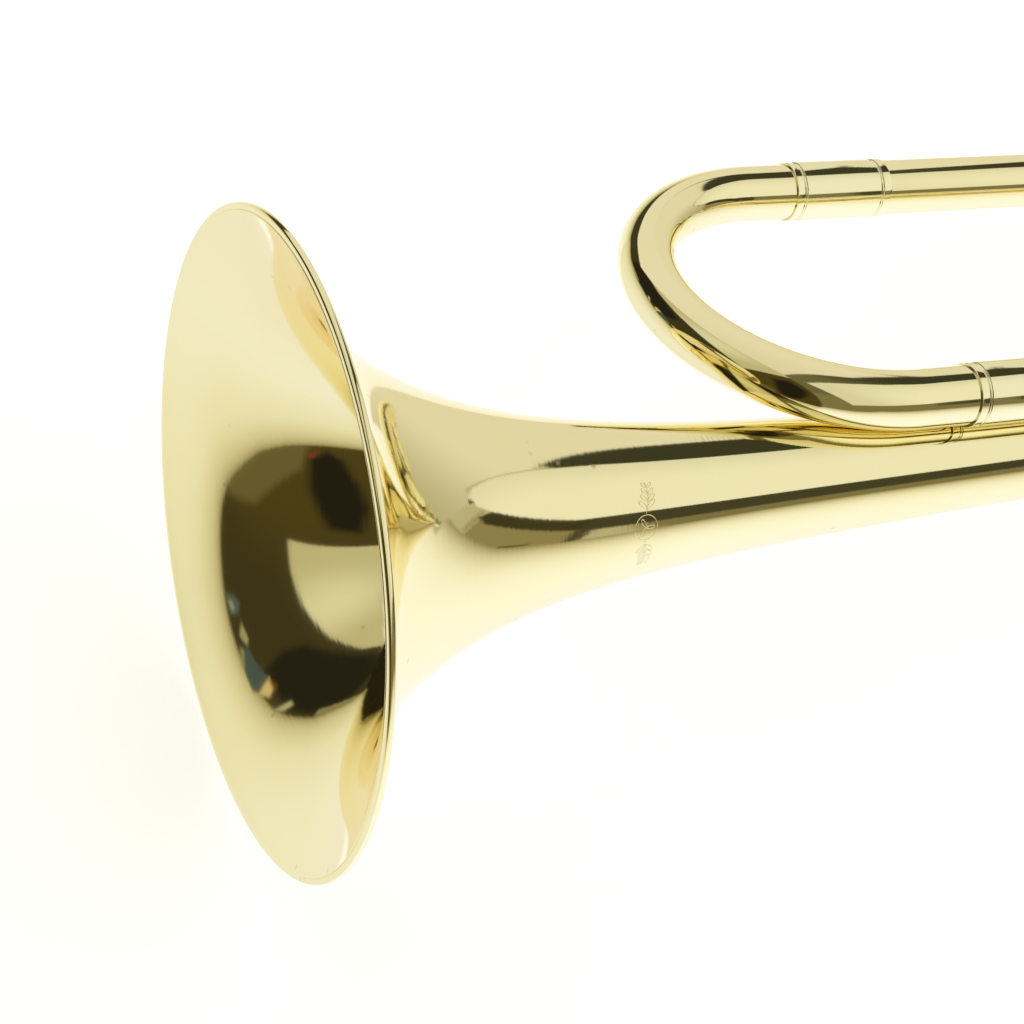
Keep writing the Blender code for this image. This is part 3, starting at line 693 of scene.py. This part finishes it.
# ------------------------------------------------------------------ lanyard lugs and rings
down_h = POSE_R.inverted() @ Vector((0.0, 0.0, -1.0))
for tag, lx in zip(("front", "rear"), RING_X):
    base = TUBE_R - 0.15
    top = TUBE_R + 0.3 + 1.3 + LUG_HOLE
    origin = yard(lx)
    lug_dir = Vector((0.0, 1.0, 0.0))
    lug_dir = (lug_dir - LEG_DIR * lug_dir.dot(LEG_DIR)).normalized()
    # eye: a ring section swept round the hole, with a foot soldered on the tube
    lug_r = LUG_HOLE + 1.2
    n_a, n_s = 72, 12
    verts, faces = [], []
    for i in range(n_a):
        a = TAU * i / n_a
        mid_r = 0.5 * (LUG_HOLE + lug_r)
        for k in range(n_s):
            b = TAU * k / n_s
            rr = mid_r + 0.6 * math.cos(b)
            zz = 0.9 * math.sin(b) * (1.0 + 0.25 * max(0.0, -math.cos(a)) ** 2)
            x = top + rr * math.cos(a)
            y = rr * math.sin(a) * (1.0 + 0.35 * max(0.0, -math.cos(a)) ** 2 * (1 if math.cos(b) > 0 else 0.3))
            verts.append((max(x, base), y, zz))
    for i in range(n_a):
        for k in range(n_s):
            i2, k2 = (i + 1) % n_a, (k + 1) % n_s
            faces.append((i * n_s + k, i2 * n_s + k, i2 * n_s + k2, i * n_s + k2))
    new_piece("lanyard_eye_%s" % tag, verts, faces, frame_matrix(origin, LEG_DIR, (0, 1, 0)), mat_fit, "horn",
              ["lanyard_lug_%s" % tag])
    hinge = origin + lug_dir * top
    hang = (down_h - LEG_DIR * down_h.dot(LEG_DIR)).normalized()
    ring_axis = LEG_DIR.cross(hang).normalized()
    turned("lanyard_ring_%s_wire" % tag, ring_section(RING_MAJOR, RING_WIRE, 20), hinge + hang * RING_MAJOR,
           ring_axis, mat_tube, "ring_%s" % tag, ["lanyard_ring_%s" % tag], seg=96, sharp=None)

# ------------------------------------------------------------------ floor
fl = bpy.data.meshes.new("studio_floor")
nseg = 96
fv = [(0.0, 0.0, 0.0)] + [(4.0 * math.cos(TAU * i / nseg), 4.0 * math.sin(TAU * i / nseg), 0.0) for i in range(nseg)]
fl.from_pydata(fv, [], [(0, 1 + i, 1 + (i + 1) % nseg) for i in range(nseg)])
floor = bpy.data.objects.new("studio_floor", fl)
scene.collection.objects.link(floor)
fm = bpy.data.materials.new("pale_floor")
fm.use_nodes = True
fb = fm.node_tree.nodes["Principled BSDF"]
fb.inputs["Base Color"].default_value = (0.93, 0.93, 0.93, 1.0)
fb.inputs["Roughness"].default_value = 0.9
fb.inputs["Specular IOR Level"].default_value = 0.0
fb.inputs["Emission Color"].default_value = (1.0, 1.0, 1.0, 1.0)
fb.inputs["Emission Strength"].default_value = 0.62
fl.materials.append(fm)
floor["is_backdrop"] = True
floor.visible_glossy = False

# ------------------------------------------------------------------ camera: the viewing angle of the photograph
F_PX = 2343.29
CAM_M = ((0.9070621, -0.3847858, 0.1708162),
         (-0.1149339, -0.6166617, -0.778793),
         (0.4050043, 0.6867811, -0.6035754))
CAM_C = Vector((-43.5401, 5.8714, 415.126)) * MM
m3 = Matrix(CAM_M)
cam_in_horn = -(m3.transposed() @ CAM_C)
right = POSE_R @ (m3.transposed() @ Vector((1, 0, 0)))
up = POSE_R @ (m3.transposed() @ Vector((0, -1, 0)))
back = POSE_R @ (m3.transposed() @ Vector((0, 0, -1)))
cam_data = bpy.data.cameras.new("camera")
cam_data.lens = F_PX / 1024.0 * 36.0
cam_data.sensor_width = 36.0
cam_data.sensor_fit = "HORIZONTAL"
cam_data.clip_start = 0.01
cam_data.clip_end = 50.0
cam = bpy.data.objects.new("camera", cam_data)
scene.collection.objects.link(cam)
cw = Matrix((right, up, back)).transposed().to_4x4()
cw.translation = POSE @ cam_in_horn
cam.matrix_world = cw
bpy.context.scene.camera = cam

AX = (POSE_R @ Vector((1, 0, 0))).normalized()          # along the horn
to_view = back.normalized()
N1 = (to_view - AX * to_view.dot(AX)).normalized()      # across the horn, towards the viewer

# ------------------------------------------------------------------ studio light
# A dim studio over a pale sweep: two overhead soft boxes, a light wall behind, dark gaps between them. Everything is
# laid out on a sky chart: distance from the chart's centre is the angle from straight up, in degrees.
world = bpy.data.worlds.new("studio")
scene.world = world
world.use_nodes = True
world.cycles.sampling_method = "MANUAL"      # the sky has no small bright spots, so a coarse light map will do
world.cycles.sample_map_resolution = 256
nt = world.node_tree
for n in list(nt.nodes):
    nt.nodes.remove(n)
link = nt.links.new
w_out = node(nt, "ShaderNodeOutputWorld")
w_bg = node(nt, "ShaderNodeBackground")
link(w_bg.outputs["Background"], w_out.inputs["Surface"])
tc = node(nt, "ShaderNodeTexCoord")
direction = tc.outputs["Generated"]


def sock(n, key, val):
    if isinstance(val, (int, float)):
        n.inputs[key].default_value = val
    elif isinstance(val, tuple):
        n.inputs[key].default_value = val
    else:
        link(val, n.inputs[key])


def m_(op, a, b=0.0, c=0.0):
    n = node(nt, "ShaderNodeMath", operation=op)
    for i, x in enumerate((a, b, c)):
        if i < len(n.inputs):
            sock(n, i, x)
    return n.outputs["Value"]


def dot(vec_socket, v):
    n = node(nt, "ShaderNodeVectorMath", operation="DOT_PRODUCT")
    link(vec_socket, n.inputs[0])
    n.inputs[1].default_value = v
    return n.outputs["Value"]


def smooth(value, lo, hi):
    n = node(nt, "ShaderNodeMapRange", interpolation_type="SMOOTHSTEP")
    sock(n, "Value", value)
    n.inputs["From Min"].default_value = lo
    n.inputs["From Max"].default_value = hi
    return n.outputs["Result"]


def blend(fac, a, b):
    n = node(nt, "ShaderNodeMix", data_type="RGBA")
    sock(n, "Factor", fac)
    for key, val in (("A", a), ("B", b)):
        if isinstance(val, tuple):
            n.inputs[key].default_value = val + (1.0,)
        else:
            link(val, n.inputs[key])
    return n.outputs["Result"]


sx, sy, sz = (dot(direction, v) for v in ((1, 0, 0), (0, 1, 0), (0, 0, 1)))
theta = m_("MULTIPLY", m_("ARCCOSINE", sz), 180.0 / math.pi)
flat_r = m_("MAXIMUM", m_("SQRT", m_("ADD", m_("MULTIPLY", sx, sx), m_("MULTIPLY", sy, sy))), 1e-4)
ratio = m_("DIVIDE", theta, flat_r)
chart = node(nt, "ShaderNodeCombineXYZ")
link(m_("MULTIPLY", ratio, sx), chart.inputs["X"])
link(m_("MULTIPLY", ratio, sy), chart.inputs["Y"])
chart.inputs["Z"].default_value = 1.0
chart = chart.outputs["Vector"]


def panel(points, feather=1.5):
    """Mask of a convex panel on the chart from its corners (degrees)."""
    cx = sum(p[0] for p in points) / len(points)
    cy = sum(p[1] for p in points) / len(points)
    mask = None
    for (x0, y0), (x1, y1) in zip(points, points[1:] + points[:1]):
        nx, ny = y1 - y0, x0 - x1
        ln = math.hypot(nx, ny)
        nx, ny = nx / ln, ny / ln
        c = -(nx * x0 + ny * y0)
        if nx * cx + ny * cy + c < 0.0:
            nx, ny, c = -nx, -ny, -c
        e = dot(chart, (nx, ny, c))
        mask = e if mask is None else m_("MINIMUM", mask, e)
    return smooth(mask, -0.5 * feather, 0.5 * feather)


def spot(x, y, r0, r1):
    """Soft round mask, 1 inside r0 and 0 outside r1 (degrees)."""
    n = node(nt, "ShaderNodeVectorMath", operation="DISTANCE")
    link(chart, n.inputs[0])
    n.inputs[1].default_value = (x, y, 1.0)
    return m_("SUBTRACT", 1.0, smooth(n.outputs["Value"], r0, r1))


def grade(ax, ay, c0, c1):
    """0..1 along a direction of the chart, from position c0 to c1."""
    ln = math.hypot(ax, ay)
    return smooth(dot(chart, (ax / ln, ay / ln, 0.0)), c0, c1)


# dim room as the bell's mouth sees it: brown, with two nearly black openings
front_side = smooth(dot(direction, tuple(AX + 0.228 * N1)), -0.305, -0.27)
room = blend(grade(0.0, 1.0, -40.0, 10.0), (0.074, 0.056, 0.015), (0.048, 0.040, 0.016))
room = blend(panel([(-95.0, -12.0), (-77.0, -26.0), (-64.0, -58.0), (-70.0, -78.0), (-100.0, -60.0)], 5.0), room,
             (0.135, 0.117, 0.046))
room = blend(panel([(-71.0, 41.5), (-60.0, 35.0), (-48.0, 36.0), (-38.0, 50.0), (-25.0, 66.0), (-24.0, 80.0), (-34.0, 87.0),
                    (-50.0, 76.5), (-64.0, 61.0)], 5.0), room, (0.018, 0.017, 0.011))
room = blend(panel([(-43.0, -29.0), (-31.0, -27.0), (-31.0, -46.0), (-38.0, -62.0), (-50.0, -76.0), (-59.0, -77.0),
                    (-63.5, -67.0), (-56.0, -50.0)], 6.0), room, (0.016, 0.014, 0.009))
# the same room behind the bell: olive, darker between the lights
room_ext = blend(grade(1.0, 1.0, -10.0, 50.0), (0.150, 0.140, 0.070), (0.045, 0.045, 0.025))
room_ext = blend(panel([(56.0, 17.0), (56.0, 40.0), (112.0, 40.0), (112.0, -62.0), (50.0, -80.0), (50.0, 0.0)], 2.0), room_ext,
                 (0.50, 0.47, 0.33))
room_ext = blend(panel([(-60.0, -45.0), (50.0, -48.0), (57.5, -60.0), (58.0, -72.0), (44.0, -88.0), (0.0, -100.0),
                        (-60.0, -100.0)], 5.0), room_ext, (0.205, 0.185, 0.088))
room_ext = blend(panel([(82.0, -13.0), (90.5, -15.5), (91.5, -21.0), (81.0, -46.0), (69.0, -63.0), (61.0, -51.0),
                        (70.0, -30.0)], 2.5), room_ext, (0.275, 0.240, 0.115))
room_ext = blend(panel([(78.0, -8.0), (90.0, -12.0), (90.5, -15.0), (82.0, -13.0)], 3.0), room_ext, (0.36, 0.32, 0.18))
room_ext = blend(panel([(73.0, -12.0), (82.0, -11.5), (81.8, -17.0), (62.5, -50.5), (50.0, -44.5)], 1.4), room_ext,
                 (0.050, 0.044, 0.018))
room_ext = blend(panel([(46.0, -44.0), (57.0, -41.5), (63.0, -50.5), (57.0, -57.0), (50.0, -63.0), (44.0, -56.0)], 2.5),
                 room_ext, (0.060, 0.056, 0.030))
room_ext = blend(panel([(60.0, -50.0), (63.5, -49.0), (69.5, -57.5), (67.5, -60.5), (63.0, -56.0)], 1.5), room_ext,
                 (0.070, 0.062, 0.032))
room_ext = blend(panel([(75.0, -46.2), (76.0, -46.2), (84.2, -37.2), (83.0, -36.8)], 1.2), room_ext, (0.060, 0.055, 0.025))
room_ext = blend(panel([(79.5, 4.5), (84.8, -1.2), (79.5, -1.2)], 1.2), room_ext, (0.060, 0.058, 0.030))
room = blend(front_side, room, room_ext)

# the pale sweep under and around the horn: how far below the horizon it begins, by compass direction (degrees), as seen
# from the bell's mouth and from behind it
azimuth = m_("FRACT", m_("ADD", m_("DIVIDE", m_("ARCTAN2", sy, sx), TAU), 1.0))


def by_azimuth(table):
    n = node(nt, "ShaderNodeValToRGB")
    link(azimuth, n.inputs["Fac"])
    els = n.color_ramp.elements
    while len(els) < len(table):
        els.new(0.5)
    for e, (az, drop) in zip(els, table):
        e.position = az / 360.0
        g = (drop + 20.0) / 40.0
        e.color = (g, g, g, 1.0)
    return m_("SUBTRACT", m_("MULTIPLY", n.outputs["Color"], 40.0), 20.0)


def by_drop(value, table):
    n = node(nt, "ShaderNodeValToRGB")
    link(m_("DIVIDE", m_("ADD", value, 2.0), 100.0), n.inputs["Fac"])
    els = n.color_ramp.elements
    while len(els) < len(table):
        els.new(0.5)
    for e, (d, c) in zip(els, table):
        e.position = (d + 2.0) / 100.0
        e.color = c + (1.0,)
    return n.outputs["Color"]


below = m_("SUBTRACT", theta, 90.0)
near_t = m_("SUBTRACT", below, by_azimuth(((0.0, 8.0), (96.0, 7.0), (106.0, 6.0), (112.0, 5.3), (118.0, 3.3), (124.0, 2.5),
                                           (130.0, 1.0), (154.0, 0.8), (166.0, 1.5), (172.0, 2.0), (178.0, 3.3), (184.0, 5.2),
                                           (190.0, 5.8), (196.0, 5.5), (202.0, 5.8), (208.0, 7.2), (214.0, 7.8), (220.0, 9.0),
                                           (226.0, 9.9), (232.0, 10.8), (238.0, 11.3), (260.0, 12.0))))
far_t = m_("SUBTRACT", below, by_azimuth(((0.0, 3.0), (12.0, 4.0), (60.0, 1.0), (72.0, 8.0), (84.0, 9.5), (96.0, 9.0),
                                          (108.0, 5.0), (120.0, 3.5), (132.0, 4.5), (144.0, 3.5), (156.0, 0.5), (200.0, 3.0),
                                          (228.0, 11.0), (240.0, 12.0), (252.0, 5.0), (264.0, 1.5), (276.0, -7.0),
                                          (288.0, -8.0), (300.0, -7.0), (306.0, -2.5), (309.0, -1.0), (324.0, -0.8), (336.0, 2.0),
                                          (348.0, 2.3), (360.0, 3.0))))
near_c = by_drop(near_t, ((-1.5, (0.12, 0.10, 0.04)), (-0.6, (0.17, 0.145, 0.06)), (0.4, (0.34, 0.31, 0.18)),
                          (1.5, (0.47, 0.43, 0.27)), (2.5, (0.54, 0.50, 0.335)), (4.0, (0.615, 0.575, 0.41)),
                          (6.0, (0.68, 0.65, 0.48)), (8.5, (0.74, 0.71, 0.55)), (12.0, (0.80, 0.785, 0.645)),
                          (16.0, (0.85, 0.845, 0.73)), (21.0, (0.87, 0.87, 0.79)), (27.0, (0.895, 0.90, 0.85)),
                          (34.0, (0.92, 0.93, 0.91)), (42.0, (0.925, 0.94, 0.96)), (65.0, (0.92, 0.92, 0.92))))
far_c = by_drop(far_t, ((-1.5, (0.30, 0.265, 0.135)), (0.0, (0.35, 0.31, 0.175)), (1.5, (0.47, 0.43, 0.275)),
                        (2.5, (0.53, 0.49, 0.335)), (4.0, (0.63, 0.59, 0.44)), (6.0, (0.725, 0.69, 0.55)),
                        (8.5, (0.81, 0.79, 0.675)), (12.0, (0.90, 0.895, 0.81)), (16.0, (0.965, 0.97, 0.92)),
                        (21.0, (1.0, 1.02, 1.03)), (27.0, (1.02, 1.06, 1.09)), (34.0, (1.04, 1.085, 1.14)),
                        (42.0, (1.045, 1.095, 1.19)), (52.0, (1.045, 1.10, 1.24)), (65.0, (1.045, 1.10, 1.30))))
sweep_c = blend(front_side, near_c, far_c)
sweep_t = m_("ADD", m_("MULTIPLY", m_("SUBTRACT", 1.0, front_side), near_t), m_("MULTIPLY", front_side, far_t))
sky = blend(smooth(sweep_t, -1.2, 0.2), room, sweep_c)
# things standing at the edge of the sweep, as the bell's mouth sees them
for pts, col in (([(-70.0, 58.0), (-66.0, 60.8), (-60.0, 61.6), (-60.5, 59.0), (-66.0, 58.2)], (0.46, 0.44, 0.29)),
                 ([(-77.0, 49.5), (-71.0, 52.0), (-67.5, 49.0), (-69.0, 44.0), (-73.0, 46.0)], (0.62, 0.50, 0.25)),
                 ([(-67.5, 52.0), (-66.0, 49.0), (-68.5, 44.5), (-69.5, 45.5)], (0.16, 0.08, 0.02)),
                 ([(-79.5, 48.0), (-76.5, 49.0), (-69.5, 44.5), (-72.0, 41.0), (-77.5, 33.0), (-83.0, 33.5), (-82.0, 41.0)],
                  (0.065, 0.095, 0.105)),
                 ([(-83.0, 40.0), (-81.5, 40.5), (-80.5, 34.0), (-82.5, 33.5)], (0.28, 0.25, 0.12)),
                 ([(-82.0, 29.5), (-78.5, 32.0), (-77.0, 29.0), (-80.5, 24.5)], (0.36, 0.33, 0.19)),
                 ([(-88.5, 19.0), (-86.5, 24.5), (-82.0, 22.5), (-80.5, 17.5), (-84.0, 16.8)], (0.085, 0.115, 0.115)),
                 ([(-87.5, 21.0), (-85.0, 23.0), (-83.5, 20.5), (-85.5, 19.5)], (0.30, 0.31, 0.26)),
                 ([(-52.0, 76.0), (-34.0, 90.5), (-31.0, 90.0), (-49.0, 74.8)], (0.25, 0.23, 0.12)),
                 ([(-65.5, -69.0), (-64.5, -66.0), (-62.0, -68.5), (-63.0, -74.0)], (0.17, 0.045, 0.015))):
    sky = blend(panel(pts, 1.3), sky, col)

# light wall on the far right
wall_col = blend(grade(1.0, -0.35, 55.0, 92.0), (0.785, 0.765, 0.655), (0.50, 0.47, 0.33))
sky = blend(panel([(44.8, 49.8), (50.6, 94.6), (99.0, 77.0), (101.0, 9.3), (80.5, 9.3), (60.2, 18.2)], 1.8), sky, wall_col)
sky = blend(panel([(80.8, 9.9), (101.0, 9.9), (101.0, -1.5), (82.5, -1.5)], 1.8), sky, wall_col)
# soft box over the horn's far side
sky = blend(panel([(-22.7, 75.2), (2.2, 84.7), (55.0, 88.0), (42.9, 50.0), (26.4, 26.4), (-22.7, -12.1)], 1.6), sky,
            blend(grade(0.4, 1.0, -10.0, 60.0), (0.735, 0.715, 0.615), (0.81, 0.785, 0.70)))
# the same box as the bell's mouth sees it
box_l = blend(spot(-38.0, 18.0, 2.0, 30.0), (0.53, 0.50, 0.33), (0.71, 0.71, 0.56))
sky = blend(panel([(-22.7, -16.7), (-57.8, -19.2), (-55.0, -4.4), (-49.5, 15.0), (-40.0, 38.5), (-29.5, 57.5), (-22.7, 64.5)],
                  1.4), sky, box_l)
# soft box on the viewer's side
box_a = blend(spot(53.0, -28.0, 18.0, 62.0), (0.70, 0.695, 0.575), (0.885, 0.885, 0.80))
sky = blend(panel([(-15.8, -19.8), (33.0, 16.5), (43.0, 19.5), (50.0, 19.9), (60.0, 17.0), (70.0, 13.0), (79.0, 8.0), (81.2, 3.0),
                   (80.0, -5.0), (76.5, -12.0), (70.0, -23.0), (60.0, -39.5), (54.0, -43.5), (48.4, -47.3), (-9.9, -69.3)],
                  1.2), sky, box_a)

lp = node(nt, "ShaderNodeLightPath")
sky = blend(lp.outputs["Is Camera Ray"], sky, (0.96, 0.96, 0.96))
link(sky, w_bg.inputs["Color"])
w_bg.inputs["Strength"].default_value = 1.0

# light goes round the inside of the bell several times before it leaves
scene.cycles.glossy_bounces = 8
scene.cycles.max_bounces = 12

scene.view_settings.view_transform = "Standard"
scene.view_settings.look = "None"

lo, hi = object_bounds()
